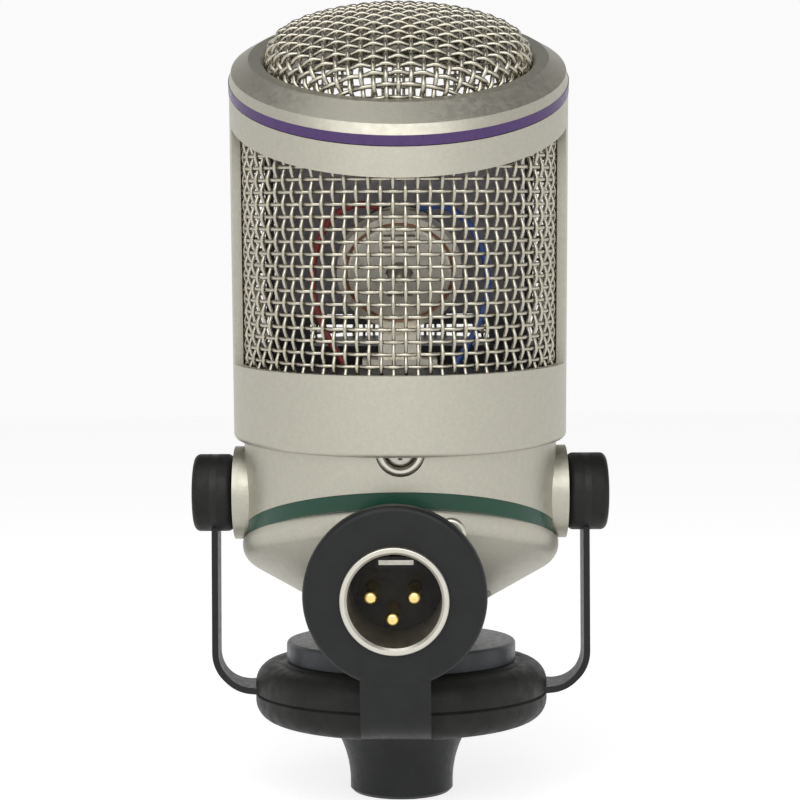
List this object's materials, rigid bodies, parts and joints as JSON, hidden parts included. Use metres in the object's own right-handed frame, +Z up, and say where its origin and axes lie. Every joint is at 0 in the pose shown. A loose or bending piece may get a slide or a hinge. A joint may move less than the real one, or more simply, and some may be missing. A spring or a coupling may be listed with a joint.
{
  "type": "side-address studio microphone",
  "caption": "Side-address moving-coil broadcast microphone with woven mesh head, in an elastic yoke mount with an XLR socket and a stand thread.",
  "frame": {"origin": "centre of the stand thread's mouth, at the adapter's lower end", "axes": "+Z up the stand thread's axis; the rear of the microphone and the XLR socket face -Y; +X runs along the tilt pivots"},
  "size_m": [0.0788, 0.0709, 0.1526],
  "materials": {
    "satin_nickel": "satin nickel over a fine blasted grain",
    "capsule_nickel": "matt nickel",
    "bright_metal": "bright nickel plate",
    "mesh_wire": "bright woven wire",
    "green_enamel": "satin green enamel",
    "purple_enamel": "gloss purple enamel",
    "black_paint": "satin black powder coat",
    "grey_plate": "satin dark grey",
    "black_rubber": "matt moulded rubber",
    "black_plastic": "matt moulded plastic",
    "gold_contact": "gold plate",
    "zinc_steel": "zinc plate",
    "copper_wire": "enamelled copper winding",
    "magnet_iron": "ground magnet and pole iron",
    "board_green": "solder resist on a circuit board",
    "red_sleeve": "red lead insulation",
    "blue_sleeve": "blue lead insulation",
    "grey_cloth": "fine acoustic cloth",
    "clear_film": "thin polyester film"
  },
  "bodies": {
    "adapter": {"stand_adapter": "black_paint", "base_bolt": "zinc_steel"},
    "mount": {"rubber_base_lower": "black_rubber", "rubber_base_upper": "black_rubber", "base_top_plate": "grey_plate", "yoke": "black_paint", "connector_bracket": "black_paint", "xlr_shell": "bright_metal", "xlr_lock_ring": "zinc_steel", "xlr_insert": "black_plastic", "xlr_pins": "gold_contact", "xlr_ground_tab": "zinc_steel", "isolator_inner_left": "black_rubber", "isolator_inner_right": "black_rubber", "isolator_outer_left": "black_rubber", "isolator_outer_right": "black_rubber", "pivot_sleeve_left": "zinc_steel", "pivot_sleeve_right": "zinc_steel"},
    "moving_coil": {"voice_coil": "copper_wire", "diaphragm": "clear_film"},
    "microphone": {"blue_lead": "blue_sleeve", "board_spacers": "black_plastic", "body_shell": "satin_nickel", "cable_gland": "bright_metal", "capsule_bolt": "bright_metal", "capsule_cover": "black_paint", "capsule_housing": "capsule_nickel", "capsule_stem": "capsule_nickel", "capsule_tags": "zinc_steel", "chassis_plate": "black_paint", "colour_ring": "purple_enamel", "diaphragm_ring": "black_plastic", "dome_clamp_ring": "zinc_steel", "dome_mesh": "mesh_wire", "front_pole_plate": "magnet_iron", "head_frame": "satin_nickel", "hum_coil": "copper_wire", "id_band": "green_enamel", "lower_shell": "satin_nickel", "magnet_back_plate": "capsule_nickel", "pivot_boss_left": "satin_nickel", "pivot_boss_right": "satin_nickel", "pivot_screws": "zinc_steel", "pole_piece": "magnet_iron", "pop_screen_cloth": "grey_cloth", "pop_screen_frame": "grey_plate", "rear_bush": "bright_metal", "rear_screw": "zinc_steel", "red_lead": "red_sleeve", "ring_magnet": "magnet_iron", "side_mesh": "mesh_wire", "terminal_board": "board_green", "terminal_pins": "gold_contact", "top_rim": "satin_nickel", "transformer_core": "magnet_iron", "transformer_posts": "black_plastic", "transformer_winding": "copper_wire"}
  },
  "joints": [
    {"name": "base_swivel", "type": "hinge", "parent": "adapter", "child": "mount", "pos_m": [0, 0, 0], "axis": [0, 0, 1], "continuous": true},
    {"name": "tilt", "type": "hinge", "parent": "mount", "child": "microphone", "pos_m": [0, 0, 0.057], "axis": [1, 0, 0], "range_deg": [-15, 3]},
    {"name": "coil_travel", "type": "slide", "parent": "microphone", "child": "moving_coil", "axis": [0, -0.8526, -0.5225], "range_m": [-0.0003, 0.0003], "stiffness_N_per_m": 150}
  ]
}
